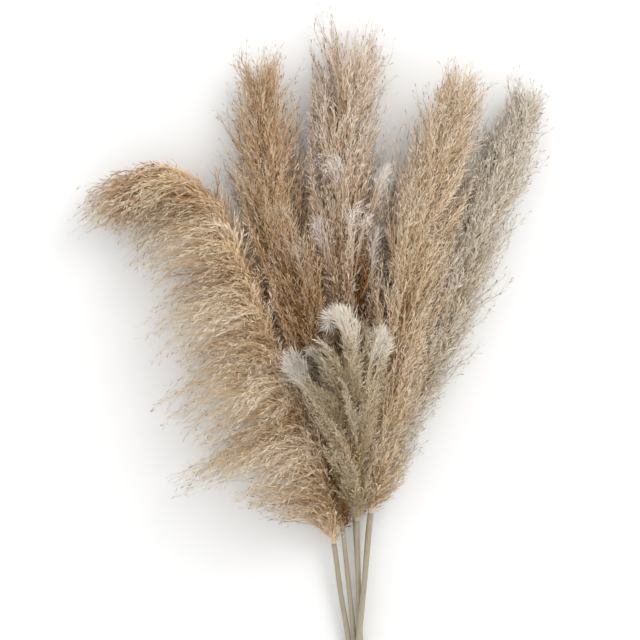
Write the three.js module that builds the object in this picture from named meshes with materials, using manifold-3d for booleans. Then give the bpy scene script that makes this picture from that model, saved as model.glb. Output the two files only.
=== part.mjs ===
// A bundle of six dried pampas grass stems lying on a flat surface, with the plumes fanned out.
// Millimetres. +Y runs from the cut ends to the plume tips, +X is to the right seen from above, +Z is up.
// The origin is on the surface, under the middle of the bundle.
import * as THREE from "three";
import { mergeVertices } from "three/addons/utils/BufferGeometryUtils.js";
import Module from "manifold-3d";

const wasm = await Module();
wasm.setup();

// Driving dimensions
const GAP = 0.4; // between two pieces that rest on each other
const CULM_TAPER = 0.12; // share of its radius that a culm loses by the foot of the plume
const STALK_TIP = 0.9; // radius of a plume's own stalk at its tip
const FULL_REACH = 165; // a full-sized plume's longest branch, which the two radii below go with
const CORE_RADIUS = 19; // of the packed heart of the plume
const BRANCH_RADIUS = 7; // of a fluffy side branch at its thickest
const LOWEST_ROOT = 0.01; // where the branches leave the stalk, as shares of its length
const HIGHEST_ROOT = 0.98;

// How much the branches differ: the part of a whole that chance sets
const TURN_VARIES = 0.8; // radians
const LENGTH_LEAST = 0.8;
const LENGTH_VARIES = 0.35;
const LEAN_LEAST = 0.85;
const LEAN_VARIES = 0.3;

// How finely the curves are cut
const CULM_SIDES = 8;
const CULM_RUNS = 8;
const CORE_SIDES = 7;
const CORE_RUNS = 11;
const BRANCH_SIDES = 3;
const BRANCH_RUNS = 3;
const STEPS_A_RUN = 4;
const LINE_SAMPLES = 80;

const SURFACE = 0;
const GOLDEN_ANGLE = Math.PI * (3 - Math.sqrt(5));
const SQUEEZES = [1, 0.7, 0.45, 0.25]; // tried in turn, until a branch is clear of the other pieces

// Each stem: its culm from the cut end to the foot of the plume, then the plume's stalk from foot to tip.
// reach is the longest branch, longest is how far up the stalk it is, and top is the highest branch's share
// of it. lean and flare are the angles in degrees between a branch and the stalk, at its root and its tip.
// droop bends the branches' ends, from the lowest branch's to the highest's. room is the plume's share of
// the space between it and its neighbours. A branch is longer by the share fuller on the side that it
// points to. lobes is the share by which the branches grow longer and shorter lobeCount times up the
// stalk, and point is the share of its lean that the highest branch loses.
const STEMS = [
  {
    name: "left",
    seed: 1,
    culmRadius: 3.3,
    culm: [
      [3.1, -226, 4.2], [-4.3, -81, 10.2], [-6.4, -40, 11.3],
      [-8.6, 0, 13.2], [-16.9, 50, 17], [-24.2, 104, 22],
    ],
    stalk: [
      [-24.2, 104, 22], [-36, 166, 34], [-57, 227, 46], [-84, 290, 54], [-108, 352, 58],
      [-130, 412, 59], [-160, 476, 53], [-208, 507, 42], [-252, 494, 30],
    ],
    branches: 70,
    reach: 122,
    longest: 0.12,
    top: 0.5,
    lean: 38,
    flare: 25,
    droop: [[-1.3, -0.9, -0.1], [-1.6, -1.7, -0.1]],
    room: 1.2,
    fuller: [-0.42, -0.1, 0],
    lobes: 0.12,
    lobeCount: 6,
    point: 0,
  },
  {
    name: "upper_left",
    seed: 2,
    culmRadius: 3,
    culm: [
      [9.8, -232, 4], [2.3, -80, 9.4], [0.2, -37, 12.2],
      [-1.8, 0, 14.4], [-8, 60, 19.3], [-14.3, 121, 25],
    ],
    stalk: [
      [-14.3, 121, 25], [-20.9, 192.5, 35], [-32, 259, 43], [-47, 324, 47],
      [-66, 390, 48], [-88, 458, 46], [-98, 530, 41], [-103, 606, 34],
    ],
    branches: 58,
    reach: 168,
    longest: 0.25,
    top: 0.4,
    lean: 42,
    flare: 17,
    droop: [[0.1, 0.05, 0], [0.05, 0.05, 0]],
    room: 1.4,
    fuller: [-0.05, 0, 0],
    lobes: 0.07,
    lobeCount: 5,
    point: 0.65,
  },
  {
    name: "upper_centre",
    seed: 3,
    culmRadius: 3.1,
    culm: [[16.8, -221, 3.1], [9.3, -80, 3.1], [5.3, 0, 3.2], [2.9, 60, 6], [-1.1, 135, 14]],
    stalk: [
      [-1.1, 135, 14], [-4.4, 203.5, 24], [-5, 275, 35], [-8, 348, 45],
      [-12, 422, 52], [-14, 496, 51], [-13, 562, 44], [-3, 624, 34],
    ],
    branches: 58,
    reach: 162,
    longest: 0.38,
    top: 0.45,
    lean: 36,
    flare: 10,
    droop: [[0, 0.1, 0], [-0.05, 0.15, 0]],
    room: 1.1,
    fuller: [0, 0, 0],
    lobes: 0.06,
    lobeCount: 5,
    point: 0.1,
  },
  {
    name: "right_centre",
    seed: 4,
    culmRadius: 3.6,
    culm: [
      [-18.4, -224, 11.5], [-4.2, -81, 17.6], [0, -37, 19.6],
      [3.6, 0, 23], [9.4, 60, 28.5], [16.5, 139, 36],
    ],
    stalk: [
      [16.5, 139, 36], [22, 210, 50], [37, 280, 61], [49, 352, 70],
      [63, 430, 75], [77, 484, 74], [96, 541, 67], [107, 585, 57],
    ],
    branches: 58,
    reach: 160,
    longest: 0.35,
    top: 0.34,
    lean: 36,
    flare: 9,
    droop: [[0, -0.1, 0], [0.2, 0.05, 0]],
    room: 1,
    fuller: [0, 0, 0],
    lobes: 0.07,
    lobeCount: 4,
    point: 0.15,
  },
  {
    name: "right",
    seed: 5,
    culmRadius: 3.1,
    culm: [
      [-18.4, -228, 3.1], [-4.2, -81, 3.2], [0, -37, 5.3],
      [3.6, 0, 9.4], [9.4, 60, 13.7], [17.3, 144, 20],
    ],
    stalk: [
      [17.3, 144, 20], [38, 208, 25], [62, 272, 32], [92, 333, 37],
      [118, 408, 39], [143, 469, 38], [167, 520, 34], [192, 588, 30],
    ],
    branches: 58,
    reach: 122,
    longest: 0.5,
    top: 0.34,
    lean: 42,
    flare: 8,
    droop: [[0.05, 0.2, -0.1], [-0.15, 0.12, -0.1]],
    room: 1.15,
    fuller: [-0.12, 0, 0],
    lobes: 0.06,
    lobeCount: 4,
    point: 0.4,
  },
  {
    name: "centre_front",
    seed: 6,
    culmRadius: 3.4,
    culm: [
      [16.8, -229, 10.2], [9.3, -80, 10.4], [7.3, -40, 12.1],
      [5.3, 0, 15.7], [2.9, 60, 22], [1.1, 130, 29],
    ],
    stalk: [[1.1, 130, 29], [-2.2, 176, 49], [-6, 220, 68], [-10, 264, 83], [-13, 297, 92]],
    branches: 45,
    reach: 150,
    longest: 0.25,
    top: 0.5,
    lean: 34,
    flare: 24,
    droop: [[-0.25, -0.1, 0.1], [-0.3, -0.4, 0.1]],
    room: 1.2,
    fuller: [0, 0, 0],
    lobes: 0.05,
    lobeCount: 3,
    point: 0,
  },
];

const matte = (color, roughness) => new THREE.MeshStandardMaterial({ color, roughness, metalness: 0 });
const CULM_COLOUR = matte(0x9c8f74, 0.6);
const PLUME_COLOURS = {
  left: matte(0xb89b7c, 0.9),
  upper_left: matte(0xb2947a, 0.9),
  upper_centre: matte(0xc0a68a, 0.9),
  right_centre: matte(0xbfa384, 0.9),
  right: matte(0xc3b398, 0.9),
  centre_front: matte(0xb8ae96, 0.9),
};

// A repeatable number from 0 to 1 for two whole numbers
function chance(a, b) {
  const x = Math.sin(a * 127.1 + b * 311.7) * 43758.5453;
  return x - Math.floor(x);
}

const clamp = (x, low, high) => Math.min(Math.max(x, low), high);

const vectorOf = (p) => new THREE.Vector3(...p);

// The curve through the points as a function of t, which is 0 at the point numbered from and 1 at the
// one numbered to
function curveThrough(points, from, to) {
  const curve = new THREE.CatmullRomCurve3(points.map(vectorOf), false, "catmullrom", 0.5);
  return (t) => curve.getPoint((from + (to - from) * t) / (points.length - 1));
}

function samplesOf(curve, count) {
  return Array.from({ length: count + 1 }, (_, i) => curve(i / count));
}

function directionAt(curve, t) {
  const step = 1e-3;
  const at = clamp(t, step, 1 - step);
  return curve(at + step).sub(curve(at - step)).normalize();
}

const lengthOf = (line) => line.slice(1).reduce((sum, p, i) => sum + p.distanceTo(line[i]), 0);

// The direction of a path of points at each of them
function waysAlong(path) {
  const last = path.length - 1;
  return path.map((_, i) => {
    const before = path[Math.max(i - 1, 0)];
    return path[Math.min(i + 1, last)].clone().sub(before).normalize();
  });
}

// Two directions square to the path at each of its points, carried along so that the solid doesn't twist
function framesAlong(path, ways) {
  let across = new THREE.Vector3(0, 0, 1);
  return path.map((centre, i) => {
    const way = ways[i];
    across = across.clone().addScaledVector(way, -across.dot(way)).normalize();
    return { centre, across, over: new THREE.Vector3().crossVectors(across, way) };
  });
}

// A closed solid of straight runs: a ring of radii[i] about path[i], with a point where the radius is 0.
// Nothing of it goes below the surface.
function spindle(path, radii, sides, ways = waysAlong(path)) {
  const rings = radii.map((radius, i) => new THREE.Vector2(radius, i)).filter((p) => p.x > 0);
  const profile = [new THREE.Vector2(0, 0), ...rings, new THREE.Vector2(0, radii.length - 1)];
  const geometry = new THREE.LatheGeometry(profile, sides);
  const frames = framesAlong(path, ways);
  const position = geometry.getAttribute("position");
  for (let i = 0; i < position.count; i++) {
    const { centre, across, over } = frames[Math.round(position.getY(i))];
    const p = centre.clone();
    p.addScaledVector(across, position.getX(i)).addScaledVector(over, position.getZ(i));
    position.setXYZ(i, p.x, p.y, Math.max(p.z, SURFACE));
  }
  return solidOf(geometry);
}

// A geometry's triangles as a closed solid that faces outwards
function solidOf(geometry) {
  geometry.deleteAttribute("normal");
  geometry.deleteAttribute("uv");
  const merged = mergeVertices(geometry, 1e-4);
  const vertProperties = merged.getAttribute("position").array;
  const corners = merged.index.array;
  const faces = [];
  for (let i = 0; i < corners.length; i += 3) {
    const [a, b, c] = corners.slice(i, i + 3);
    if (a !== b && b !== c && c !== a) faces.push(a, b, c);
  }
  const filled = (order) =>
    new wasm.Manifold(new wasm.Mesh({ numProp: 3, vertProperties, triVerts: new Uint32Array(order) }));
  const solid = filled(faces);
  return solid.volume() > 0 ? solid : filled(faces.reverse());
}

function meshOf(name, solid, material) {
  const { vertProperties, triVerts } = solid.getMesh();
  const geometry = new THREE.BufferGeometry();
  geometry.setAttribute("position", new THREE.BufferAttribute(vertProperties, 3));
  geometry.setIndex(new THREE.BufferAttribute(triVerts, 1));
  geometry.computeVertexNormals();
  const mesh = new THREE.Mesh(geometry, material);
  mesh.name = name;
  return mesh;
}

// The nearest of a line's points to p, and its distance
function nearestOn(line, p) {
  let nearest = line[0];
  let distance = Infinity;
  for (const q of line) {
    const d = q.distanceTo(p);
    if (d < distance) [nearest, distance] = [q, d];
  }
  return { nearest, distance };
}

for (const stem of STEMS) {
  const points = [...stem.culm, ...stem.stalk.slice(1)];
  const foot = stem.culm.length - 1;
  stem.culmCurve = curveThrough(points, 0, foot);
  stem.stalkCurve = curveThrough(points, foot, points.length - 1);
  const stalkLine = samplesOf(stem.stalkCurve, LINE_SAMPLES);
  stem.stalkLength = lengthOf(stalkLine);
  stem.line = [...samplesOf(stem.culmCurve, LINE_SAMPLES), ...stalkLine];
  stem.footRadius = stem.culmRadius * (1 - CULM_TAPER);
  stem.size = stem.reach / FULL_REACH;
}

const neighboursOf = (stem) => STEMS.filter((other) => other !== stem);

// How far from its own stalk a plume may reach towards one neighbour, at a point this far from that one
const shareOf = (stem, other) => stem.room / other.room;

// Draws a point of one plume back towards its own stalk until it is clear of its neighbours' space
function keptClear(stem, p, radius) {
  const rounds = 2;
  for (let round = 0; round < rounds; round++) {
    const own = nearestOn(stem.line, p);
    for (const other of neighboursOf(stem)) {
      const most = nearestOn(other.line, p).distance * shareOf(stem, other) - radius - GAP;
      const pull = clamp(most / Math.max(own.distance, GAP), 0.1, 1);
      p = own.nearest.clone().lerp(p, pull);
      own.distance *= pull;
    }
  }
  return p;
}

// A culm: a tapered reed from its cut end to just under the plume
function culmSolid(stem) {
  const path = samplesOf(stem.culmCurve, CULM_RUNS);
  const ways = path.map((_, i) => directionAt(stem.culmCurve, i / CULM_RUNS));
  path[CULM_RUNS].addScaledVector(ways[CULM_RUNS], -GAP);
  const radii = path.map((_, i) => stem.culmRadius * (1 - (CULM_TAPER * i) / CULM_RUNS));
  return spindle(path, radii, CULM_SIDES, ways);
}

// The heart of a plume: its stalk, and round it the packed roots of the branches
function coreSolid(stem) {
  const path = samplesOf(stem.stalkCurve, CORE_RUNS);
  const ways = path.map((_, i) => directionAt(stem.stalkCurve, i / CORE_RUNS));
  const radii = path.map((p, i) => {
    const t = i / CORE_RUNS;
    const stalk = THREE.MathUtils.lerp(stem.footRadius, STALK_TIP, t);
    const packed = CORE_RADIUS * stem.size * Math.sin(Math.PI * (0.06 + 0.94 * t)) ** 0.7;
    const rooms = neighboursOf(stem).map((other) => {
      const share = shareOf(stem, other);
      return (nearestOn(other.line, p).distance * share) / (1 + share) - 1 - GAP;
    });
    return i === 0 ? stem.footRadius : Math.max(stalk, Math.min(packed || 0, ...rooms));
  });
  return spindle(path, radii, CORE_SIDES, ways);
}

// How long the branch at share t of the stalk is, as a share of the longest one
function lengthShare(stem, t) {
  const rising = 0.6 + 0.4 * clamp(t / stem.longest, 0, 1);
  const past = clamp((t - stem.longest) / (1 - stem.longest), 0, 1);
  return rising * (1 - (1 - stem.top) * past ** 1.1);
}

// How thick a branch is at share s of its length
function branchRadius(stem, s) {
  if (s >= 1) return 0;
  return BRANCH_RADIUS * Math.sqrt(stem.size) * (0.45 + 0.75 * Math.sin(Math.PI * s ** 0.85) ** 1.2);
}

// A branch's centre line. It leaves the stalk at its lean, turns to run more nearly along it, and droops.
function branchPath(stem, i, squeeze) {
  const root = (i + 0.5 * chance(i, stem.seed + 10)) / stem.branches;
  const t = LOWEST_ROOT + (HIGHEST_ROOT - LOWEST_ROOT) * root;
  const turn = i * GOLDEN_ANGLE + TURN_VARIES * chance(i, stem.seed + 20);
  const start = directionAt(stem.stalkCurve, t);
  const up = new THREE.Vector3(0, 0, 1).addScaledVector(start, -start.z).normalize();
  const across = new THREE.Vector3().crossVectors(start, up);
  const outward = across.multiplyScalar(Math.cos(turn)).addScaledVector(up, Math.sin(turn));
  const side = 1 + outward.dot(vectorOf(stem.fuller));
  const lobe = 1 + stem.lobes * Math.cos(2 * Math.PI * stem.lobeCount * t + 1);
  const luck = LENGTH_LEAST + LENGTH_VARIES * chance(i, stem.seed + 30);
  const length = stem.reach * lengthShare(stem, t) * luck * side * lobe;
  const leaning = LEAN_LEAST + LEAN_VARIES * chance(i, stem.seed + 40);
  const drawnIn = Math.min(side, 1) * (1 - stem.point * t ** 3);
  const lean = THREE.MathUtils.degToRad(stem.lean) * leaning * drawnIn * squeeze;
  const flare = THREE.MathUtils.degToRad(stem.flare) * squeeze;
  const droop = vectorOf(stem.droop[0]).lerp(vectorOf(stem.droop[1]), t);
  const steps = BRANCH_RUNS * STEPS_A_RUN;
  let p = stem.stalkCurve(t);
  const path = [p];
  const radii = [branchRadius(stem, 0)];
  for (let k = 0; k < steps; k++) {
    const s = (k + 0.5) / steps;
    const angle = lean * (1 - s) + flare * s;
    const way = directionAt(stem.stalkCurve, t + (s * length) / stem.stalkLength);
    way.multiplyScalar(Math.cos(angle)).addScaledVector(outward, Math.sin(angle));
    way.addScaledVector(droop, s ** 1.6).normalize();
    p = p.clone().addScaledVector(way, length / steps);
    const radius = branchRadius(stem, (k + 1) / steps);
    p.z = Math.max(p.z, SURFACE + 0.7 * radius + 0.5);
    p = keptClear(stem, p, radius);
    if ((k + 1) % STEPS_A_RUN === 0) {
      path.push(p);
      radii.push(radius);
    }
  }
  return { path, radii };
}

// The plume with one more branch, which is bent closer to the stalk until it is clear of every other
// piece and encloses no hollow between the branches
function withBranch(plume, stem, i, others) {
  for (const squeeze of SQUEEZES) {
    const { path, radii } = branchPath(stem, i, squeeze);
    const branch = spindle(path, radii, BRANCH_SIDES);
    if (others.some((other) => branch.minGap(other, GAP) < GAP)) continue;
    const joined = plume.add(branch);
    if (joined.decompose().length === 1) return joined;
  }
  return plume;
}

const culms = new Map(STEMS.map((stem) => [stem, culmSolid(stem)]));
const plumes = new Map(STEMS.map((stem) => [stem, coreSolid(stem)]));
for (const stem of STEMS) {
  const others = [...culms.values(), ...neighboursOf(stem).map((other) => plumes.get(other))];
  for (let i = 0; i < stem.branches; i++) {
    plumes.set(stem, withBranch(plumes.get(stem), stem, i, others));
  }
}

const bundle = new THREE.Group();
for (const stem of STEMS) {
  bundle.add(meshOf(`culm_${stem.name}`, culms.get(stem), CULM_COLOUR));
  bundle.add(meshOf(`plume_${stem.name}`, plumes.get(stem), PLUME_COLOURS[stem.name]));
}

// The middle of the bundle's box goes over the origin, with its lowest point on the surface
const box = new THREE.Box3().setFromObject(bundle);
const middle = box.getCenter(new THREE.Vector3());
bundle.position.set(-middle.x, -middle.y, SURFACE - box.min.z);

export default bundle;
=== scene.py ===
import bpy
import numpy as np
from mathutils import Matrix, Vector


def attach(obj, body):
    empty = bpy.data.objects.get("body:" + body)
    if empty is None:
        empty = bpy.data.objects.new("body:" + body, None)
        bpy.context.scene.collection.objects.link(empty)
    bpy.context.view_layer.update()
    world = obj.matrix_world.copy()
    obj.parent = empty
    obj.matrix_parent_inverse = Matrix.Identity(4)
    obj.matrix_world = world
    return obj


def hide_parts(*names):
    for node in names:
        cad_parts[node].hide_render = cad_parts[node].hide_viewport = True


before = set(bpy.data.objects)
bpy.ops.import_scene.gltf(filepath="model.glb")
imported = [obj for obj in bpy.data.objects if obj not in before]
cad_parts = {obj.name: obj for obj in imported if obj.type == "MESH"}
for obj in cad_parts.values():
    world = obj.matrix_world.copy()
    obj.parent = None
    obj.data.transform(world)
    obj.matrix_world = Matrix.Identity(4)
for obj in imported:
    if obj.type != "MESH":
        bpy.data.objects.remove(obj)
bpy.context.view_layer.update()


# Culms
# Six dry reeds, straw coloured with an olive cast, cut straight at the bottom. Each has a few faint growth
# rings and grows on as the stalk inside its plume. One surface each: a circle carried along a smooth line.
MM_A_METRE = 1000
# The lines' points are millimetres on the surface that the bundle lies on. This shift brings the bundle's
# middle to the origin.
TO_MIDDLE = np.array([51.3486, -230.2542, 0.0])
CULM_POINTS = {
    "left": [[3.1, -226, 4.2], [-4.3, -81, 10.2], [-6.4, -40, 11.3], [-8.6, 0, 13.2], [-16.9, 50, 17],
             [-24.2, 104, 22]],
    "upper_left": [[9.8, -232, 4], [2.3, -80, 9.4], [0.2, -37, 12.2], [-1.8, 0, 14.4], [-8, 60, 19.3],
                   [-14.3, 121, 25]],
    "upper_centre": [[16.8, -221, 3.1], [9.3, -80, 3.1], [5.3, 0, 3.2], [2.9, 60, 6], [-1.1, 135, 14]],
    "right_centre": [[-18.4, -224, 11.5], [-4.2, -81, 17.6], [0, -37, 19.6], [3.6, 0, 23], [9.4, 60, 28.5],
                     [16.5, 139, 36]],
    "right": [[-18.4, -228, 3.1], [-4.2, -81, 3.2], [0, -37, 5.3], [3.6, 0, 9.4], [9.4, 60, 13.7],
              [17.3, 144, 20]],
    "centre_front": [[16.8, -229, 10.2], [9.3, -80, 10.4], [7.3, -40, 12.1], [5.3, 0, 15.7], [2.9, 60, 22],
                     [1.1, 130, 29]],
}
STALK_POINTS = {
    "left": [[-24.2, 104, 22], [-36, 166, 34], [-57, 227, 46], [-84, 290, 54], [-108, 352, 58],
             [-130, 412, 59], [-160, 476, 53], [-208, 507, 42], [-252, 494, 30]],
    "upper_left": [[-14.3, 121, 25], [-20.9, 192.5, 35], [-32, 259, 43], [-47, 324, 47], [-66, 390, 48],
                   [-88, 458, 46], [-98, 530, 41], [-103, 606, 34]],
    "upper_centre": [[-1.1, 135, 14], [-4.4, 203.5, 24], [-5, 275, 35], [-8, 348, 45], [-12, 422, 52],
                     [-14, 496, 51], [-13, 562, 44], [-3, 624, 34]],
    "right_centre": [[16.5, 139, 36], [22, 210, 50], [37, 280, 61], [49, 352, 70], [63, 430, 75],
                     [77, 484, 74], [96, 541, 67], [107, 585, 57]],
    "right": [[17.3, 144, 20], [38, 208, 25], [62, 272, 32], [92, 333, 37], [118, 408, 39],
              [143, 469, 38], [167, 520, 34], [192, 588, 30]],
    "centre_front": [[1.1, 130, 29], [-2.2, 176, 49], [-6, 220, 68], [-10, 264, 83], [-13, 297, 92]],
}
CULM_RADIUS = {"left": 3.3, "upper_left": 3.0, "upper_centre": 3.1, "right_centre": 3.6, "right": 3.1,
               "centre_front": 3.4}
CULM_STEPS = 40
CULM_SIDES = 16
GROWTH_RINGS = np.array([0.18, 0.52, 0.83])
GROWTH_SPREAD = 0.006


def along(points, t):
    """Point at share t of a smooth curve through the points: between two of them it is the cubic whose
    slope at each end is half the step from the point before to the point after."""
    p = np.asarray(points, float)
    last = len(p) - 1
    t = np.clip(np.asarray(t, float), 0, 1) * last
    i = np.minimum(t.astype(int), last - 1)
    w = (t - i)[..., None]
    p = np.vstack([2 * p[0] - p[1], p, 2 * p[-1] - p[-2]])
    a, b, c, d = p[i], p[i + 1], p[i + 2], p[i + 3]
    start, end = (c - a) / 2, (d - b) / 2
    return (2 * b - 2 * c + start + end) * w**3 + (3 * c - 3 * b - 2 * start - end) * w**2 + start * w + b


def unit(v):
    """The vector divided by its length."""
    return v / np.maximum(np.linalg.norm(v, axis=-1, keepdims=True), 1e-9)


def stem_curve(name, part):
    """The culm's or the stalk's stretch of the stem's one curve, as a function of its own share t."""
    points = CULM_POINTS[name] + STALK_POINTS[name][1:]
    foot, last = len(CULM_POINTS[name]) - 1, len(points) - 1
    start, end = (0, foot) if part == "culm" else (foot, last)
    return lambda t: along(points, (start + (end - start) * np.asarray(t, float)) / last)


def direction(curve, t):
    """The curve's direction at t: the step between two points close by on either side, made unit length."""
    t = np.clip(t, 1e-3, 1 - 1e-3)
    return unit(curve(t + 1e-3) - curve(t - 1e-3))


def square_to(way):
    """Two unit vectors square to each direction and to each other, the first as upright as it can be."""
    over = unit(np.array([0, 0, 1.0]) - way * way[..., 2:3])
    return over, np.cross(way, over)


def wall_faces(rings, sides):
    """The triangles of a tube's wall, two between each two neighbours on a ring and the next ring's two.
    Corner j of ring i has the number i times sides plus j."""
    i, j = np.meshgrid(np.arange(rings - 1), np.arange(sides), indexing="ij")
    k = (j + 1) % sides
    a, b, c, d = i * sides + j, i * sides + k, (i + 1) * sides + k, (i + 1) * sides + j
    return np.stack([a, b, c, a, c, d], -1).reshape(-1, 3)


def tube_along(curve, radius, t, sides):
    """Points centre(t) + radius(t) (cos a over + sin a across) on a grid of shares t and angles a, with the
    two end rings closed by a fan to their middles."""
    centre = curve(t)
    over, across = square_to(direction(curve, t))
    angle = np.linspace(0, 2 * np.pi, sides, endpoint=False)
    ring = np.cos(angle)[None, :, None] * over[:, None] + np.sin(angle)[None, :, None] * across[:, None]
    points = centre[:, None] + radius(t)[:, None, None] * ring
    verts = np.vstack([points.reshape(-1, 3), centre[:1], centre[-1:]])
    j, k = np.arange(sides), (np.arange(sides) + 1) % sides
    low, high = len(verts) - 2, len(verts) - 1
    last = (len(t) - 1) * sides
    foot = np.stack([np.full(sides, low), k, j], -1)
    top = np.stack([np.full(sides, high), last + j, last + k], -1)
    return verts, np.vstack([wall_faces(len(t), sides), foot, top])


def new_piece(name, verts, faces, material, node):
    """A smooth mesh object from vertices in millimetres and triangles, which stands for a solid of the
    frame. The bundle's middle is moved to the origin."""
    verts = (np.asarray(verts) + TO_MIDDLE) / MM_A_METRE
    mesh = bpy.data.meshes.new(name)
    mesh.vertices.add(len(verts))
    mesh.vertices.foreach_set("co", verts.astype(np.float32).ravel())
    mesh.loops.add(faces.size)
    mesh.loops.foreach_set("vertex_index", faces.astype(np.int32).ravel())
    mesh.polygons.add(len(faces))
    mesh.polygons.foreach_set("loop_start", np.arange(0, faces.size, 3, dtype=np.int32))
    mesh.polygons.foreach_set("use_smooth", np.full(len(faces), True))
    mesh.update()
    mesh.validate()
    piece = bpy.data.objects.new(name, mesh)
    bpy.context.scene.collection.objects.link(piece)
    mesh.materials.append(material)
    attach(piece, "root")
    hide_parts(node)
    return piece


def reed_material():
    """Straw colour from noise drawn out fifty times along the reed, paler patches over it, and a matt satin
    roughness that follows the same streaks."""
    material = bpy.data.materials.new("dry_reed")
    material.use_nodes = True
    nodes, links = material.node_tree.nodes, material.node_tree.links
    shader = nodes["Principled BSDF"]
    place = nodes.new("ShaderNodeTexCoord")
    stretch = nodes.new("ShaderNodeMapping")
    stretch.inputs["Scale"].default_value = (1400, 28, 1400)
    links.new(place.outputs["Object"], stretch.inputs["Vector"])
    streaks = nodes.new("ShaderNodeTexNoise")
    streaks.inputs["Scale"].default_value = 1.0
    streaks.inputs["Detail"].default_value = 3
    links.new(stretch.outputs["Vector"], streaks.inputs["Vector"])
    patches = nodes.new("ShaderNodeTexNoise")
    patches.inputs["Scale"].default_value = 26
    links.new(place.outputs["Object"], patches.inputs["Vector"])
    straw = nodes.new("ShaderNodeValToRGB")
    straw.color_ramp.elements[0].position = 0.3
    straw.color_ramp.elements[0].color = (0.23, 0.185, 0.12, 1)
    straw.color_ramp.elements[1].position = 0.72
    straw.color_ramp.elements[1].color = (0.46, 0.40, 0.285, 1)
    links.new(streaks.outputs["Fac"], straw.inputs["Fac"])
    bloom = nodes.new("ShaderNodeMix")
    bloom.data_type = "RGBA"
    bloom.inputs["B"].default_value = (0.40, 0.36, 0.26, 1)
    links.new(patches.outputs["Fac"], bloom.inputs["Factor"])
    links.new(straw.outputs["Color"], bloom.inputs["A"])
    links.new(bloom.outputs["Result"], shader.inputs["Base Color"])
    satin = nodes.new("ShaderNodeMapRange")
    satin.inputs["To Min"].default_value = 0.42
    satin.inputs["To Max"].default_value = 0.68
    links.new(streaks.outputs["Fac"], satin.inputs["Value"])
    links.new(satin.outputs["Result"], shader.inputs["Roughness"])
    shader.inputs["Specular IOR Level"].default_value = 0.35
    return material


reed = reed_material()
for number, (name, radius) in enumerate(CULM_RADIUS.items()):
    growth = GROWTH_RINGS + 0.03 * np.sin(number * 2.1 + np.arange(len(GROWTH_RINGS)))

    def culm_radius(t, radius=radius, growth=growth):
        """The cut end's radius less a taper of 12 per cent, and a low bell-shaped swelling at each ring."""
        swelling = np.exp(-(((t[:, None] - growth) / GROWTH_SPREAD) ** 2)).sum(1)
        return radius * (0.965 - 0.12 * t + 0.035 * swelling)

    near_rings = [ring + np.linspace(-0.015, 0.015, 9) for ring in growth]
    shares = np.unique(np.concatenate([np.linspace(0, 1, CULM_STEPS), *near_rings]))
    verts, faces = tube_along(stem_curve(name, "culm"), culm_radius, shares, CULM_SIDES)
    new_piece(f"reed_{name}", verts, faces, reed, f"culm_{name}")


# Drooping plume on the left
# The largest plume: hundreds of fine side strands grow round its stalk, each set with dry spikelets and
# silky hairs. They arch up and hang over to the left. Caramel by the stalk, greyer and paler at the ends.
GOLDEN_ANGLE = np.pi * (3 - np.sqrt(5))
STRAND_STEPS = 12
LINE_SHARES = np.linspace(0, 1, 81)
STEM_LINES = {name: np.vstack([stem_curve(name, "culm")(LINE_SHARES), stem_curve(name, "stalk")(LINE_SHARES)])
              for name in CULM_POINTS}
# Where two plumes meet, the space between them is shared out by their room. The heights are the least, in
# millimetres, that a strand's line, a loosened strand, a core, the heart's ridges and a sliver keep above
# the surface.
ROOM = {"left": 1.2, "upper_left": 1.4, "upper_centre": 1.1, "right_centre": 1.0, "right": 1.15,
        "centre_front": 1.2}
ROOM_MARGIN = 2.0
LINE_HEIGHT = 4.5
LOOSE_HEIGHT = 3.0
CORE_HEIGHT = 0.6
HEART_HEIGHT = 1.5
SLIVER_HEIGHT = 0.3


def chance(a, b):
    """A repeatable number from 0 to 1: what is left behind the point of the sine of 127.1 a + 311.7 b times
    a large number."""
    x = np.sin(a * 127.1 + b * 311.7) * 43758.5453
    return x - np.floor(x)


def nearest_on(line, p):
    """The nearest of the line's points to each point p, and how far it is."""
    gap = np.linalg.norm(p[:, None] - line[None], axis=2)
    i = gap.argmin(1)
    return line[i], gap[np.arange(len(p)), i]


def kept_clear(name, p, margin):
    """Points drawn back to their own stalk until their distance from it is no more than their distance
    from each other stem times the ratio of the two plumes' rooms, less the margin. One step takes away
    nine tenths of the distance at most."""
    for _ in range(2):
        nearest, own = nearest_on(STEM_LINES[name], p)
        for other in STEM_LINES:
            if other != name:
                most = nearest_on(STEM_LINES[other], p)[1] * ROOM[name] / ROOM[other] - margin
                pull = np.clip(most / np.maximum(own, 0.4), 0.1, 1)
                p = nearest + (p - nearest) * pull[:, None]
                own = own * pull
    return p


def away_from_stalk(name, points):
    """Unit vectors to the points from the nearest point of their own stem."""
    flat = points.reshape(-1, 3)
    return unit(flat - nearest_on(STEM_LINES[name], flat)[0]).reshape(points.shape)


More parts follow.
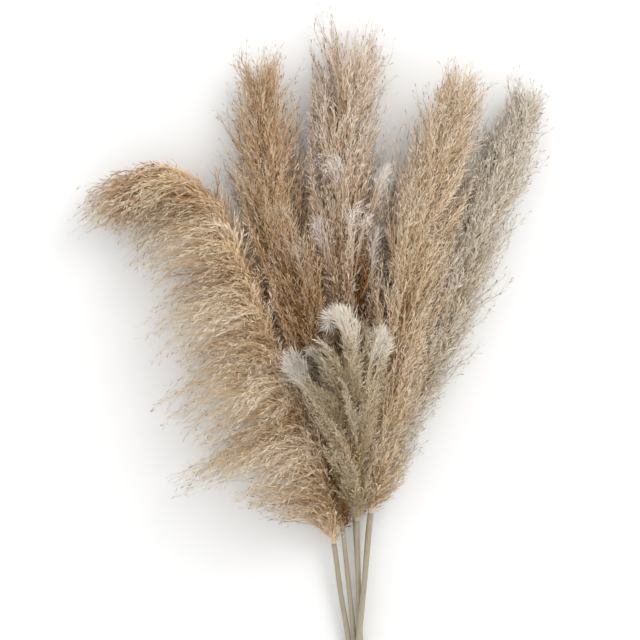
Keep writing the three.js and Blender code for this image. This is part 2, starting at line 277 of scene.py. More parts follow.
def strand_paths(name, shape, layer):
    """Centre lines of a layer's side strands. Strand i leaves the stalk at share t, in golden-angle turns.
    At share s of its length it leans from the stalk by lean (1 - s) + flare s, and droop and hang times s
    to the 1.6 are added to its direction. It is as long as reach, times 0.6 rising to 1 at longest and
    falling to top at the end, times 1 + outward . fuller, times 1 + lobes cos(2 pi lobe_count t + 1)."""
    count = layer["count"]
    i = np.arange(count)
    seed = shape["seed"] + layer["draw"]
    stalk = stem_curve(name, "stalk")
    stalk_length = np.linalg.norm(np.diff(stalk(LINE_SHARES), axis=0), axis=1).sum()
    low, high = layer["between"]
    t = low + (high - low) * (i + 0.5 * chance(i, seed + 10)) / count
    turn = i * GOLDEN_ANGLE + 0.8 * chance(i, seed + 20)
    over, across = square_to(direction(stalk, t))
    outward = np.cos(turn)[:, None] * across + np.sin(turn)[:, None] * over
    side = 1 + outward @ shape["fuller"] * layer["uneven"]
    rising = 0.6 + 0.4 * np.clip(t / shape["longest"], 0, 1)
    past = np.clip((t - shape["longest"]) / (1 - shape["longest"]), 0, 1)
    length = shape["reach"] * rising * (1 - (1 - shape["top"]) * past**1.1)
    length = length * layer["reach"] * (0.8 + 0.35 * chance(i, seed + 30)) * side
    length = length * (1 + shape["lobes"] * np.cos(2 * np.pi * shape["lobe_count"] * t + 1))
    lean = np.radians(shape["lean"]) * layer["lean"] * (0.85 + 0.3 * chance(i, seed + 40))
    lean = lean * np.minimum(side, 1) * (1 - shape["point"] * t**3)
    flare = np.radians(shape["flare"]) * layer["lean"]
    lowest, highest = np.array(shape["droop"], float)
    droop = lowest + (highest - lowest) * t[:, None]
    droop = droop + (np.clip(t / 0.2, 0, 1) * (1 - t))[:, None] * shape["hang"]
    droop = droop * layer["droop"]
    p = stalk(t)
    path = [p]
    for k in range(STRAND_STEPS):
        s = (k + 0.5) / STRAND_STEPS
        angle = lean * (1 - s) + flare * s
        way = direction(stalk, t + s * length / stalk_length) * np.cos(angle)[:, None]
        way = unit(way + outward * np.sin(angle)[:, None] + droop * s**1.6)
        p = p + way * (length / STRAND_STEPS)[:, None]
        p[:, 2] = np.maximum(p[:, 2], LINE_HEIGHT)
        p = kept_clear(name, p, ROOM_MARGIN)
        path.append(p)
    return np.stack(path, 1), length, t


def loosened(rng, name, path, lengths, many, spread, shortest):
    """Every strand becomes a loose lock of many. Each is the same line cut to a share of its length from
    shortest up, set off it in a random direction by spread times a random reach times s to the 0.65,
    with a slight wave both ways. A lock's strands share one root."""
    count = len(path) * many
    parent = np.repeat(np.arange(len(path)), many)
    main = np.arange(count) % many == 0
    cut = np.where(main, 1.0, rng.uniform(shortest, 1.08, count))
    s = np.linspace(0, 1, STRAND_STEPS + 1)[None] * cut[:, None]
    at = s * STRAND_STEPS
    low = np.minimum(at.astype(int), STRAND_STEPS - 1)
    share = (at - low)[..., None]
    rows = parent[:, None]
    line = path[rows, low] * (1 - share) + path[rows, low + 1] * share
    over, across = square_to(unit(np.gradient(line, axis=1)))
    reach = np.where(main, 0.15, np.sqrt(rng.random(count))) * spread
    turn = rng.uniform(0, 2 * np.pi, count)
    out = s**0.65
    phase = rng.random((count, 2))
    wave = 0.3 * spread * np.sin(2 * np.pi * (1.1 * s[..., None] + phase[:, None])) * s[..., None]
    line = line + over * ((reach * np.sin(turn))[:, None] * out + wave[..., 0])[..., None]
    line = line + across * ((reach * np.cos(turn))[:, None] * out + wave[..., 1])[..., None]
    line[:, 1:, 2] = np.maximum(line[:, 1:, 2], LOOSE_HEIGHT)
    for k in range(2, STRAND_STEPS + 1):
        line[:, k] = kept_clear(name, line[:, k], 0.0)
    return line, lengths[parent] * cut, parent


MIDDLE_TONE = 0.45


def layer_bunch(rng, name, shape, layer):
    """A layer's loosened strands, and each one's own tone: the lock's, which is the middle tone with the
    scatter mottle, waves with the lobes, lighter on them and darker between them as painted shade, is darker
    towards the plume's foot as painted shade among its neighbours and by dusk towards its top, and a little
    scatter of the strand's own."""
    path, lengths, t = strand_paths(name, shape, layer)
    lock = MIDDLE_TONE + rng.normal(0, shape["mottle"], len(path))
    # Painted shade: the tone falls between the lobes and rises on them.
    lock = lock + shape["lobe_shade"] * np.cos(2 * np.pi * shape["lobe_count"] * t + 1)
    # Painted shade: the locks darken towards the foot, down among the neighbouring plumes.
    lock = lock - shape["foot_shade"] * np.clip(1 - t / 0.7, 0, 1)
    lock = lock - shape["dusk"] * np.clip(t / 0.4 - 1.5, 0, 1)
    path, lengths, parent = loosened(rng, name, path, lengths, layer["many"], layer["spread"],
                                     layer["shortest"])
    own = lock[parent] + rng.normal(0, 0.03, len(path))
    return {"path": path, "lengths": lengths, "core": layer["core"], "own": own, "fluff": layer["fluff"]}


def tuft_bunch(rng, name, tuft):
    """A lock that leaves the stalk at share root and goes by way of a point to its tip, on a curve of the
    second degree. There it curls over in an arc of 170 degrees, of radius round, towards curl."""
    start = stem_curve(name, "stalk")(np.array([tuft["root"]]))[0]
    bend, tip = np.array(tuft["by"], float), np.array(tuft["tip"], float)
    arc = np.radians([50.0, 95, 135, 170])[:, None]
    s = np.linspace(0, 1, STRAND_STEPS + 1 - len(arc))[:, None]
    line = (1 - s) ** 2 * start + 2 * s * (1 - s) * bend + s**2 * tip
    curl = tip + tuft["round"] * (np.sin(arc) * unit(tip - bend)
                                  + (1 - np.cos(arc)) * unit(np.array(tuft["curl"], float)))
    path = np.vstack([line, curl])
    length = np.linalg.norm(np.diff(path, axis=0), axis=1).sum()
    path, lengths, _ = loosened(rng, name, path[None], np.array([length]), tuft["many"], tuft["spread"],
                                shortest=0.85)
    own = np.full(tuft["many"], tuft["own"])
    return {"path": path, "lengths": lengths, "core": 0.6, "own": own, "fluff": tuft["fluff"]}


def heart_radius(name, shape, t):
    """The stalk's taper from the culm's end, and round it a hump that is thickest in the lower half."""
    foot = CULM_RADIUS[name] * 0.85
    return foot * (1 - 0.8 * t) + shape["heart"] * np.sin(np.pi * np.clip(t, 0, 1) ** 0.9) ** 1.3


RIDGES = 8


def heart_bunch(name, shape):
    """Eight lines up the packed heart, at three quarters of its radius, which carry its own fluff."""
    stalk = stem_curve(name, "stalk")
    shares = np.linspace(0, 1, 41)
    line = stalk(shares)
    length = np.linalg.norm(np.diff(line, axis=0), axis=1).sum()
    over, across = square_to(direction(stalk, shares))
    around = np.arange(RIDGES) * 2 * np.pi / RIDGES
    ridge = np.cos(around)[:, None, None] * over + np.sin(around)[:, None, None] * across
    path = line + 0.75 * heart_radius(name, shape, shares)[:, None] * ridge
    path[..., 2] = np.maximum(path[..., 2], HEART_HEIGHT)
    # The ridges' tone lies below the middle one: painted shade in the heart.
    return {"path": path, "lengths": np.full(RIDGES, length), "core": 3.0, "own": np.full(RIDGES, 0.38),
            "fluff": [HEART_FLUFF, FOOT_FLUFF]}


def skin(corners, faces, u, v, soft):
    """A part of a plume's mesh, and for each corner two numbers, u, how far out it is, and v, its tone, both
    kept just inside the colour map, and the direction that it is lit from."""
    uv = np.clip(np.stack([u, v], -1).reshape(-1, 2), 0.005, 0.995)
    return corners.reshape(-1, 3), faces, uv, soft.reshape(-1, 3)


HEART_RINGS = 28
HEART_SIDES = 9


def packed_heart(rng, name, shape):
    """The stalk and its packed heart as one tube. Its lowest part takes the strands' colour, so u there goes
    up to 1 at the foot. Its v stays below the middle, towards the shade colour: painted shade in the plume's
    depth."""
    shares = np.linspace(0, 1, HEART_RINGS)
    corners, faces = tube_along(stem_curve(name, "stalk"), lambda t: heart_radius(name, shape, t), shares,
                                HEART_SIDES)
    foot = np.append(np.repeat(np.clip(1 - shares / 0.09, 0, 1), HEART_SIDES), [1, 0])
    u = rng.uniform(0, 0.15, len(corners)) + foot
    v = rng.uniform(0.15, 0.35, len(corners)) + 0.08 * foot
    return skin(corners, faces, u, v, away_from_stalk(name, corners))


def swell(s):
    """How thick a strand is along its length: 0.45 at the root, fullest past the middle, then to nothing."""
    return (0.45 + 0.75 * np.sin(np.pi * np.clip(s, 0, 1) ** 0.85) ** 1.2) * np.clip((1 - s) / 0.12, 0.08, 1)


CORE_STEP = 3
CORE_SIDES = 3


def strand_cores(rng, name, bunch):
    """A closed tube of three sides along every strand through each third point, as thick as its swell."""
    path = bunch["path"][:, ::CORE_STEP]
    count, rings = path.shape[:2]
    over, across = square_to(unit(np.gradient(path, axis=1)))
    angle = np.arange(CORE_SIDES) * 2 * np.pi / CORE_SIDES
    ring = np.cos(angle)[:, None] * over[:, :, None] + np.sin(angle)[:, None] * across[:, :, None]
    thick = bunch["core"] * swell(np.linspace(0, 1, rings))
    verts = path[:, :, None] + thick[None, :, None, None] * ring
    verts[..., 2] = np.maximum(verts[..., 2], CORE_HEIGHT)
    corners = verts.reshape(-1, 3)
    fan = np.arange(1, CORE_SIDES - 1)
    last = (rings - 1) * CORE_SIDES
    foot = np.stack([0 * fan, fan + 1, fan], -1)
    top = np.stack([0 * fan + last, last + fan, last + fan + 1], -1)
    one = np.vstack([wall_faces(rings, CORE_SIDES), foot, top])
    faces = (one[None] + (np.arange(count) * rings * CORE_SIDES)[:, None, None]).reshape(-1, 3)
    s = np.tile(np.repeat(np.linspace(0, 1, rings), CORE_SIDES), count)
    tone = rng.normal(-0.05, 0.05, len(s)) + np.repeat(bunch["own"], rings * CORE_SIDES)
    soft = unit(corners - np.repeat(path.reshape(-1, 3), CORE_SIDES, axis=0))
    return skin(corners, faces, s * 0.8, tone, soft + away_from_stalk(name, corners))


def upper_share(away):
    """How many slivers a strand has beside the mean: 1 plus 0.65 times how far up its middle faces from the
    stalk."""
    return 1 + 0.65 * away[:, STRAND_STEPS // 2, 2]


def sliver_places(rng, bunch, a_mm, fluff):
    """Where a bunch's slivers stand, a_mm of them a millimetre. Their shares s are evenly spread numbers to
    the power crowd, which sets them closer towards the strand's end. Returns each one's strand, s, point
    on it, the strand's direction, the golden-angle way out from it, and the way from the stalk."""
    path, away = bunch["path"], bunch["away"]
    many = np.maximum(np.round(bunch["lengths"] * a_mm * upper_share(away)).astype(int), 2)
    strand = np.repeat(np.arange(len(path)), many)
    order = np.arange(len(strand)) - np.repeat(np.cumsum(many) - many, many)
    start, end = fluff["between"]
    s = start + (end - start) * ((order + rng.random(len(strand))) / many[strand]) ** fluff["crowd"]
    at = np.clip(s, 0, 1) * (path.shape[1] - 1)
    low = np.minimum(at.astype(int), path.shape[1] - 2)
    share = (at - low)[:, None]
    middle = path[strand, low] * (1 - share) + path[strand, low + 1] * share
    way = unit(path[strand, low + 1] - path[strand, low])
    over, across = square_to(way)
    turn = order * GOLDEN_ANGLE + rng.random(len(strand)) * 1.5
    out = np.sin(turn)[:, None] * over + np.cos(turn)[:, None] * across
    out = unit(out + 0.9 * away[strand, low] + [0, 0, 0.4])
    return strand, s, middle, way, out, away[strand, low]


SLIVER_FACES = np.array([[0, 2, 1], [0, 1, 3], [1, 2, 3], [2, 0, 3]])


def slivers(rng, bunch, shape, fluff, density):
    """Slivers of four triangles round each strand, at a tilt from it: a root, a tip, and two shoulders past
    the middle, as a spikelet on its thin stem. The broad side faces out. Their light is that of the whole
    mass, which faces away from the stalk and up, with a share crisp of each sliver's own corners."""
    strand, s, middle, way, out, away = sliver_places(rng, bunch, fluff["a_mm"] * density, fluff)
    root = middle + out * (0.7 * bunch["core"] * swell(s))[:, None]
    tilt = np.radians(rng.uniform(*fluff["tilt"], len(s)))[:, None]
    stray = rng.normal(0, fluff["stray"], out.shape)
    lie = unit(way * np.cos(tilt) + out * np.sin(tilt) + stray)
    long = rng.uniform(*fluff["long"], len(s)) * (1 - 0.3 * s)
    wide = rng.uniform(*fluff["wide"], len(s))
    breadth = unit(np.cross(lie, out + 0.6 * rng.normal(size=out.shape)))
    bend = root + lie * (long * fluff["shoulder"])[:, None]
    bend = bend + np.cross(lie, breadth) * (wide * 0.35)[:, None]
    side = breadth * (wide * 0.5)[:, None]
    corners = np.stack([root, bend + side, bend - side, root + lie * long[:, None]], 1)
    lowest = SLIVER_HEIGHT + 0.3 * rng.random(corners.shape[:2])
    corners[..., 2] = np.maximum(corners[..., 2], lowest)
    faces = (SLIVER_FACES[None] + (np.arange(len(s)) * 4)[:, None, None]).reshape(-1, 3)
    soft = unit(corners - corners.mean(1, keepdims=True)) * fluff["crisp"] + away[:, None] + [0, 0, 0.8]
    tone = bunch["own"][strand] + shape["paler"] * s + fluff["tone"]
    tone = tone + rng.normal(0, fluff["mottle"], len(s))
    u = s[:, None] + fluff["outer"] + [[-0.1, 0.03, 0.031, 0.08]]
    v = tone[:, None] + [[-0.05, 0, 0.005, fluff["tip"]]]
    return skin(corners, faces, u, v, soft)


def fluff_colours():
    """Node group for dry fluff, read from the piece's own map. Colour goes from Root through Body to Tip as
    u goes from the stalk to the end of a strand, then towards Shade or Light as v leaves the middle.
    Roughness goes from 0.95 in the shade to 0.6 in the light."""
    group = bpy.data.node_groups.new("fluff_colours", "ShaderNodeTree")
    for title in ("Root", "Body", "Tip", "Shade", "Light"):
        group.interface.new_socket(title, in_out="INPUT", socket_type="NodeSocketColor")
    group.interface.new_socket("Colour", in_out="OUTPUT", socket_type="NodeSocketColor")
    group.interface.new_socket("Roughness", in_out="OUTPUT", socket_type="NodeSocketFloat")
    nodes, links = group.nodes, group.links
    given, out = nodes.new("NodeGroupInput"), nodes.new("NodeGroupOutput")
    place = nodes.new("ShaderNodeUVMap")
    place.uv_map = "OFBake"
    parts = nodes.new("ShaderNodeSeparateXYZ")
    links.new(place.outputs["UV"], parts.inputs["Vector"])

    def ranged(value, low, high):
        """The value's smooth rise from 0 at low to 1 at high."""
        node = nodes.new("ShaderNodeMapRange")
        node.interpolation_type = "SMOOTHSTEP"
        node.inputs["From Min"].default_value = low
        node.inputs["From Max"].default_value = high
        links.new(value, node.inputs["Value"])
        return node.outputs["Result"]

    def blend(share, first, second):
        """The first colour, with a share of the second mixed in."""
        node = nodes.new("ShaderNodeMix")
        node.data_type = "RGBA"
        links.new(share, node.inputs["Factor"])
        links.new(first, node.inputs["A"])
        links.new(second, node.inputs["B"])
        return node.outputs["Result"]

    u, v = parts.outputs["X"], parts.outputs["Y"]
    colour = blend(ranged(u, 0.0, 0.5), given.outputs["Root"], given.outputs["Body"])
    colour = blend(ranged(u, 0.45, 1.0), colour, given.outputs["Tip"])
    colour = blend(ranged(v, 0.5, 0.0), colour, given.outputs["Shade"])
    colour = blend(ranged(v, 0.5, 1.0), colour, given.outputs["Light"])
    links.new(colour, out.inputs["Colour"])
    rough = nodes.new("ShaderNodeMapRange")
    rough.inputs["To Min"].default_value = 0.95
    rough.inputs["To Max"].default_value = 0.6
    links.new(v, rough.inputs["Value"])
    links.new(rough.outputs["Result"], out.inputs["Roughness"])
    return group


FLUFF = fluff_colours()


def fluff_material(name, root, body, tip, shade, light):
    """A plume's material: the fluff group with this plume's five colours, given as screen colours and
    turned to light by the power 2.2, and a faint sheen."""
    material = bpy.data.materials.new(name)
    material.use_nodes = True
    nodes, links = material.node_tree.nodes, material.node_tree.links
    shader = nodes["Principled BSDF"]
    group = nodes.new("ShaderNodeGroup")
    group.node_tree = FLUFF
    for title, colour in zip(("Root", "Body", "Tip", "Shade", "Light"), (root, body, tip, shade, light)):
        group.inputs[title].default_value = (*(((c / 255) ** 2.2) for c in colour), 1)
    links.new(group.outputs["Colour"], shader.inputs["Base Color"])
    links.new(group.outputs["Roughness"], shader.inputs["Roughness"])
    shader.inputs["Specular IOR Level"].default_value = 0.1
    shader.inputs["Sheen Weight"].default_value = 0.03
    return material


def new_plume(name, shape, layers, material, tufts=()):
    """One mesh of a plume: its packed heart, the cores of all strands, and the slivers, as many of them as
    bring it to about shape's number of triangles. u and v go into the map that the colours are read from."""
    rng = np.random.default_rng(shape["seed"])
    skins = [packed_heart(rng, name, shape)]
    bunches = [heart_bunch(name, shape)]
    bunches += [layer_bunch(rng, name, shape, layer) for layer in layers]
    bunches += [tuft_bunch(rng, name, tuft) for tuft in tufts]
    for bunch in bunches:
        bunch["away"] = away_from_stalk(name, bunch["path"])
    skins += [strand_cores(rng, name, bunch) for bunch in bunches[1:]]
    wanted = sum((bunch["lengths"] * upper_share(bunch["away"])).sum() * fluff["a_mm"]
                 for bunch in bunches for fluff in bunch["fluff"])
    density = (shape["triangles"] - sum(len(faces) for _, faces, _, _ in skins)) / len(SLIVER_FACES) / wanted
    skins += [slivers(rng, bunch, shape, fluff, density) for bunch in bunches for fluff in bunch["fluff"]]
    corners, faces, uvs, softs = zip(*skins)
    starts = np.cumsum([0] + [len(part) for part in corners])
    faces = np.vstack([part + start for part, start in zip(faces, starts)])
    piece = new_piece(f"{name}_plume", np.vstack(corners), faces, material, f"plume_{name}")
    piece.data.normals_split_custom_set_from_vertices(unit(np.vstack(softs)))
    colour_map = piece.data.uv_layers.new(name="OFBake")
    corner = np.empty(len(piece.data.loops), dtype=np.int32)
    piece.data.loops.foreach_get("vertex_index", corner)
    colour_map.data.foreach_set("uv", np.vstack(uvs)[corner].astype(np.float32).ravel())


# Kinds of fluff. a_mm is a kind's slivers a millimetre of strand, beside the other kinds', and between is
# the stretch that they stand on. tilt is their lean from it in degrees, stray how far they scatter, and
# long and wide are millimetres. They are widest at the share shoulder. tone is added to the strand's, with
# the scatter mottle, and tip to the sliver's end. outer moves the colour out along the strand.
PLAIN_FLUFF = {"between": (0.03, 1.0), "crowd": 0.68, "stray": 0.22, "shoulder": 0.62, "tone": 0,
               "mottle": 0.1, "tip": 0.08, "outer": 0, "crisp": 0.2}
# Fine dry hairs, the most of all.
SOFT = {**PLAIN_FLUFF, "a_mm": 1.0, "tilt": (10, 62), "long": (8, 12), "wide": (0.45, 0.65), "mottle": 0.055,
        "stray": 0.5, "tip": 0.05}
# Pale silky hairs that stand off.
SILKY = {**PLAIN_FLUFF, "a_mm": 0.25, "tilt": (15, 60), "long": (9, 14), "wide": (0.35, 0.5), "tone": 0.1,
         "tip": 0.1, "shoulder": 0.7}
# Dark dry spikelets towards the ends.
DASHES = {**PLAIN_FLUFF, "a_mm": 0.2, "tilt": (8, 40), "long": (7, 10), "wide": (0.65, 0.95), "tone": -0.5,
          "tip": -0.1, "shoulder": 0.75, "between": (0.5, 1.0)}
# Broader, softly lit slivers that close the gaps between the hairs.
HAZE = {**PLAIN_FLUFF, "a_mm": 0.3, "tilt": (4, 30), "long": (10, 15), "wide": (0.9, 1.4), "mottle": 0.02,
        "tip": 0.02, "between": (0, 0.85), "crisp": 0}
# The packed inside.
# Darker than the outer hairs: painted shade in the plume's depth, which the undercoat keeps.
BULK = {**PLAIN_FLUFF, "a_mm": 1.2, "tilt": (6, 34), "long": (11, 17), "wide": (1.1, 1.7), "tone": -0.09,
        "mottle": 0.02, "between": (0.0, 0.8), "crisp": 0}
UNDERCOAT = {**BULK, "a_mm": 1.7, "between": (0.05, 0.95)}
# White down on the ends of young locks.
DOWN = {**PLAIN_FLUFF, "a_mm": 2.0, "tilt": (6, 50), "long": (14, 27), "wide": (0.35, 0.55), "tone": 0.36,
        "between": (0.5, 1.0), "stray": 0.3, "shoulder": 0.5}
WISPS = {**DOWN, "a_mm": 1.3, "tone": 0.28, "between": (0.4, 1.0)}
# The heart's own, a little darker as painted shade in the depth, and the straw-coloured ruff where the plume
# begins.
HEART_FLUFF = {**PLAIN_FLUFF, "a_mm": 1.4, "tilt": (10, 45), "long": (14, 22), "wide": (1.6, 2.2),
               "tone": -0.06, "mottle": 0.04}
FOOT_FLUFF = {**PLAIN_FLUFF, "a_mm": 2.6, "tilt": (8, 50), "long": (10, 17), "wide": (0.5, 0.75),
              "between": (0.0, 0.12), "outer": 0.5, "tone": 0.12, "stray": 0.3}
# The drooping plume's, with more of the haze, which sits closer towards the strands' ends.
FULL_FLUFF = [{**SOFT, "crowd": 0.52}, {**HAZE, "a_mm": 0.5, "between": (0, 1.0), "crowd": 0.5},
              SILKY, DASHES]

# Layers of strands. count locks leave the stalk on its stretch between, each of many strands that part by
# spread millimetres, the shortest of them cut to the share shortest. core is a strand's radius. reach, lean
# and droop are shares of the plume's own, uneven is how far a layer follows the plume's fuller side, and
# draw gives it other random numbers. The outer ones and the fill are long and show, the crown stands up
# along the stalk, the coat is short, the skirt lies flat, and the inner ones are thick and hidden.
PLAIN_LAYER = {"draw": 0, "between": (0.01, 0.98), "core": 0.32, "many": 3, "shortest": 0.55, "reach": 1,
               "lean": 1, "droop": 1, "uneven": 1}
OUTER = {**PLAIN_LAYER, "many": 7, "spread": 19, "fluff": [SOFT, HAZE, SILKY, DASHES]}
FILL = {**PLAIN_LAYER, "draw": 90, "many": 4, "spread": 18, "reach": 0.93,
        "fluff": [SOFT, HAZE, SILKY, DASHES]}
CROWN = {**PLAIN_LAYER, "draw": 130, "count": 64, "spread": 12, "between": (0.5, 0.97), "lean": 0.5,
         "fluff": [SOFT, HAZE, SILKY]}
COAT = {**PLAIN_LAYER, "draw": 170, "count": 60, "spread": 10, "between": (0.0, 0.9), "reach": 0.38,
        "lean": 0.9, "fluff": [SOFT, HAZE]}
SKIRT = {**PLAIN_LAYER, "draw": 210, "count": 105, "spread": 12, "between": (0.0, 0.65), "reach": 0.44,
         "lean": 1.4, "fluff": [{**BULK, "a_mm": 1.8, "tone": 0.0}, SOFT]}
INNER = {**PLAIN_LAYER, "draw": 50, "core": 0.6, "spread": 16, "fluff": [BULK]}

# A plume's shape. Its longest strands, reach millimetres long, leave the stalk at its share longest, and
# the last ones have the share top of that. lean and flare are degrees at a strand's root and end. droop is
# two vectors, for the plume's foot and top, and hang one for between. Strands are longer towards fuller
# and in lobe_count lobes, and point draws the top together. heart is the packed middle's radius. paler is
# added to the tone out along a strand.
PLAIN_SHAPE = {"hang": [0, 0, 0], "fuller": [0, 0, 0], "point": 0, "paler": 0.1, "mottle": 0.05, "lobe_shade": 0,
               "foot_shade": 0, "dusk": 0}
LEFT = {**PLAIN_SHAPE, "seed": 1, "reach": 122, "longest": 0.12, "top": 0.5, "lean": 38, "flare": 25,
        "droop": [[-1.3, -0.9, -0.1], [-1.6, -1.7, -0.1]], "hang": [0.85, -1.5, 0],
        "fuller": [-0.28, -0.08, 0], "lobes": 0.1, "lobe_count": 6, "heart": 10, "paler": 0.12, "lobe_shade": 0.16,
        "dusk": 0.18, "triangles": 186000}
new_plume(
    "left", LEFT,
    [{**OUTER, "count": 80, "many": 6, "spread": 20, "shortest": 0.82, "fluff": FULL_FLUFF},
     {**FILL, "count": 190, "spread": 21, "shortest": 0.82, "reach": 0.96, "fluff": FULL_FLUFF},
     {**CROWN, "reach": 1.22},
     {**SKIRT, "between": (0.15, 0.75), "reach": 0.5, "lean": 1.15, "droop": 0, "uneven": -1},
     {**FILL, "draw": 250, "count": 85, "between": (0.03, 0.55), "spread": 22, "shortest": 0.75,
      "fluff": [{**SOFT, "crowd": 0.5}, {**HAZE, "a_mm": 0.9, "between": (0.3, 1.0)}]},
     {**COAT, "count": 110, "reach": 0.52, "droop": 0.15, "uneven": 0},
     {**INNER, "count": 160, "reach": 0.92, "spread": 18, "fluff": [UNDERCOAT]}],
    fluff_material("left_fluff", (226, 178, 124), (250, 219, 178), (238, 221, 195), (164, 116, 70),
                   (255, 243, 224)),
)


# Plume that leans left
# A narrower, upright plume of the same fine strands, which grow close round the stalk and hardly droop. Its
# heart and lower locks show brown between them, painted dark as shade, and dark little spikelets stand at its
# edge.
UPRIGHT_LAYERS = [{**OUTER, "count": 58}, {**FILL, "count": 100}, CROWN, COAT, SKIRT,
                  {**INNER, "count": 60, "reach": 0.84}]
# A lock that curls out of the front: many strands that part by spread millimetres, of the tone own, curled
# to the radius round.
PALE_LOCK = {"many": 9, "spread": 14, "own": MIDDLE_TONE, "round": 8, "fluff": [SOFT, WISPS]}
UPPER_LEFT = {**PLAIN_SHAPE, "seed": 2, "reach": 168, "longest": 0.25, "top": 0.42, "lean": 44, "flare": 17,
              "droop": [[0.1, 0.05, 0], [0.05, 0.05, 0]], "fuller": [-0.06, 0, 0], "point": 0.5,
              "lobes": 0.07, "lobe_count": 5, "heart": 12, "foot_shade": 0.45, "paler": 0.25, "triangles": 162000}
new_plume(
    "upper_left", UPPER_LEFT, UPRIGHT_LAYERS,
    fluff_material("upper_left_fluff", (150, 101, 50), (212, 172, 128), (214, 190, 160), (124, 82, 40),
                   (246, 228, 204)),
    tufts=[{**PALE_LOCK, "root": 0.55, "by": (-70, 425, 78), "tip": (-80, 462, 80), "curl": (-0.6, 0, -0.8)},
           {**PALE_LOCK, "root": 0.45, "by": (-54, 380, 80), "tip": (-61, 426, 84), "curl": (-0.6, 0, -0.8)}],
)


# Straight plume in the middle
# The tallest. Its strands are pinkish cream at the top and painted darker and browner, as shade, down between
# its neighbours, and five pale locks curl out of its front.
UPPER_CENTRE = {**PLAIN_SHAPE, "seed": 3, "reach": 162, "longest": 0.38, "top": 0.45, "lean": 38, "flare": 11,
                "droop": [[0, 0.1, 0], [-0.05, 0.15, 0]], "fuller": [-0.08, 0, 0], "point": -0.1,
                "lobes": 0.06, "lobe_count": 5, "heart": 12, "foot_shade": 0.75, "paler": 0.3, "triangles": 168000}
LOW_LOCK = {**PALE_LOCK, "round": 9}
new_plume(
    "upper_centre", UPPER_CENTRE, UPRIGHT_LAYERS,
    fluff_material("upper_centre_fluff", (152, 104, 44), (228, 198, 165), (237, 222, 206), (130, 84, 34),
                   (252, 242, 232)),
    tufts=[{**LOW_LOCK, "root": 0.45, "by": (-24, 395, 76), "tip": (-31, 440, 94), "curl": (-0.6, 0.4, -0.4)},
           {**LOW_LOCK, "root": 0.47, "by": (-2, 405, 78), "tip": (-3, 448, 96), "curl": (0.2, 0.6, -0.5)},
           {**LOW_LOCK, "root": 0.45, "by": (16, 390, 76), "tip": (25, 432, 94), "curl": (0.6, 0.4, -0.4)},
           {**PALE_LOCK, "root": 0.6, "by": (-14, 474, 78), "tip": (-16, 510, 90), "curl": (-0.6, 0.5, -0.4)},
           {**PALE_LOCK, "root": 0.56, "by": (18, 460, 76), "tip": (27, 498, 88), "curl": (0.6, 0.5, -0.4)}],
)


# Inner plume on the right
# A full plume on the topmost reed, golden cream all over. Its strands stand close along the stalk and
# only their ends turn to the right.
RIGHT_CENTRE = {**PLAIN_SHAPE, "seed": 4, "reach": 160, "longest": 0.35, "top": 0.34, "lean": 36, "flare": 9,
                "droop": [[0, -0.1, 0], [0.2, 0.05, 0]], "point": 0.15, "lobes": 0.07, "lobe_count": 4,
                "heart": 12, "foot_shade": 0.03, "triangles": 162000}
new_plume(
    "right_centre", RIGHT_CENTRE, UPRIGHT_LAYERS,
    fluff_material("right_centre_fluff", (190, 148, 100), (228, 199, 161), (235, 218, 197), (146, 108, 68),
                   (251, 242, 227)),
)


# Outer plume on the right
# The slimmest of the long ones, on the lowest reed. Its dry strands are paler and greyer than the rest,
# silvery along the outer edge.
RIGHT = {**PLAIN_SHAPE, "seed": 5, "reach": 122, "longest": 0.5, "top": 0.34, "lean": 44, "flare": 9,
         "droop": [[0.05, 0.2, -0.1], [-0.15, 0.12, -0.1]], "fuller": [-0.12, 0, 0], "point": 0.4,
         "lobes": 0.06, "lobe_count": 4, "heart": 12, "foot_shade": 0.12, "paler": 0.13, "triangles": 146000}
new_plume(
    "right", RIGHT, UPRIGHT_LAYERS,
    fluff_material("right_fluff", (186, 158, 120), (230, 215, 191), (236, 227, 214), (150, 128, 100),
                   (252, 247, 238)),
)


# Short plume on top
# Younger and still half closed: olive grey strands stand together like ropes, and three of its locks end
# in a curl of white down. It lies on the others.
CENTRE_FRONT = {**PLAIN_SHAPE, "seed": 6, "reach": 150, "longest": 0.25, "top": 0.5, "lean": 34, "flare": 24,
                "droop": [[-0.25, -0.1, 0.1], [-0.3, -0.4, 0.1]], "lobes": 0.05, "lobe_count": 3, "heart": 11,
                "mottle": 0.12, "paler": 0.08, "triangles": 130000}
DOWNY_LOCK = {"many": 14, "spread": 13, "own": MIDDLE_TONE, "fluff": [SOFT, HAZE, DOWN]}
new_plume(
    "centre_front", CENTRE_FRONT,
    [{**OUTER, "count": 26, "many": 12, "spread": 8, "reach": 0.94},
     {**FILL, "count": 40, "spread": 8, "reach": 0.8},
     {**COAT, "count": 40},
     {**INNER, "count": 36, "reach": 0.75, "lean": 0.7}],
    fluff_material("centre_front_fluff", (171, 141, 92), (220, 196, 158), (226, 210, 181), (138, 114, 75),
                   (252, 243, 229)),
    tufts=[{**DOWNY_LOCK, "root": 0.4, "by": (-44, 268, 106), "tip": (-64, 300, 115), "round": 15,
            "curl": (-0.85, -0.1, -0.4), "spread": 10, "own": 0.62},
           {**DOWNY_LOCK, "root": 0.55, "by": (-8, 305, 115), "tip": (-10, 334, 122), "round": 13,
            "curl": (-0.6, 0.6, -0.3)},
           {**DOWNY_LOCK, "root": 0.45, "by": (14, 288, 110), "tip": (22, 316, 114), "round": 11,
            "curl": (0.4, 0.7, -0.3), "many": 9, "spread": 12}],
)


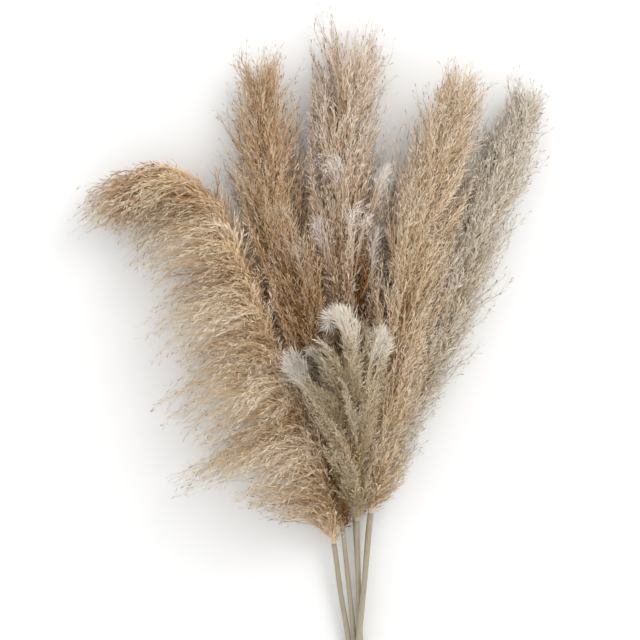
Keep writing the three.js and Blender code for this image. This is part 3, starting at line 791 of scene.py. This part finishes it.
# Floor
# A plain, matt white sheet that the bundle lies on, one flat square of twelve metres. It is the stage, and
# no part of the bundle.
FLOOR_HALF = 6
floor_mesh = bpy.data.meshes.new("floor")
floor_mesh.from_pydata([(-FLOOR_HALF, -FLOOR_HALF, 0), (FLOOR_HALF, -FLOOR_HALF, 0),
                        (FLOOR_HALF, FLOOR_HALF, 0), (-FLOOR_HALF, FLOOR_HALF, 0)], [], [(0, 1, 2, 3)])
floor = bpy.data.objects.new("floor", floor_mesh)
bpy.context.scene.collection.objects.link(floor)
floor_paint = bpy.data.materials.new("white_sheet")
floor_paint.use_nodes = True
matt_white = floor_paint.node_tree.nodes["Principled BSDF"]
matt_white.inputs["Base Color"].default_value = (0.93, 0.93, 0.925, 1)
matt_white.inputs["Roughness"].default_value = 0.9
matt_white.inputs["Specular IOR Level"].default_value = 0.1
floor_mesh.materials.append(floor_paint)


# Light and camera
# A bright room, a broad lamp high on the upper right, and the camera straight above the plumes. A pixel of
# the photograph is 1.1 mm at the plumes' own height, and the stems' zero point lies in column 356.
world = bpy.data.worlds.new("bright_room")
bpy.context.scene.world = world
world.use_nodes = True
world.node_tree.nodes["Background"].inputs["Color"].default_value = (1, 1, 1, 1)
world.node_tree.nodes["Background"].inputs["Strength"].default_value = 1.0
LAMP_PLACE = (1.3, 1.5, 1.9)
LAMP_AIM = (0, 0.1, 0)
lamp_data = bpy.data.lights.new("broad_lamp", "AREA")
lamp_data.size = 1.3
lamp_data.energy = 22
lamp = bpy.data.objects.new("broad_lamp", lamp_data)
lamp.location = LAMP_PLACE
lamp.rotation_euler = (Vector(LAMP_AIM) - Vector(LAMP_PLACE)).to_track_quat("-Z", "Y").to_euler()
bpy.context.scene.collection.objects.link(lamp)

PIXEL = 0.0011
PHOTO_SIDE = 640
STEMS_COLUMN = 356
CAMERA_HEIGHT = 3.0
PLUMES_HEIGHT = 0.05
camera_data = bpy.data.cameras.new("camera")
camera_data.lens = camera_data.sensor_width * (CAMERA_HEIGHT - PLUMES_HEIGHT) / (PHOTO_SIDE * PIXEL)
camera = bpy.data.objects.new("camera", camera_data)
camera.location = ((PHOTO_SIDE / 2 - STEMS_COLUMN) * PIXEL + TO_MIDDLE[0] / MM_A_METRE,
                   PHOTO_SIDE / 2 * PIXEL + TO_MIDDLE[1] / MM_A_METRE, CAMERA_HEIGHT)
bpy.context.scene.collection.objects.link(camera)
bpy.context.scene.camera = camera
bpy.context.scene.view_settings.view_transform = "Standard"
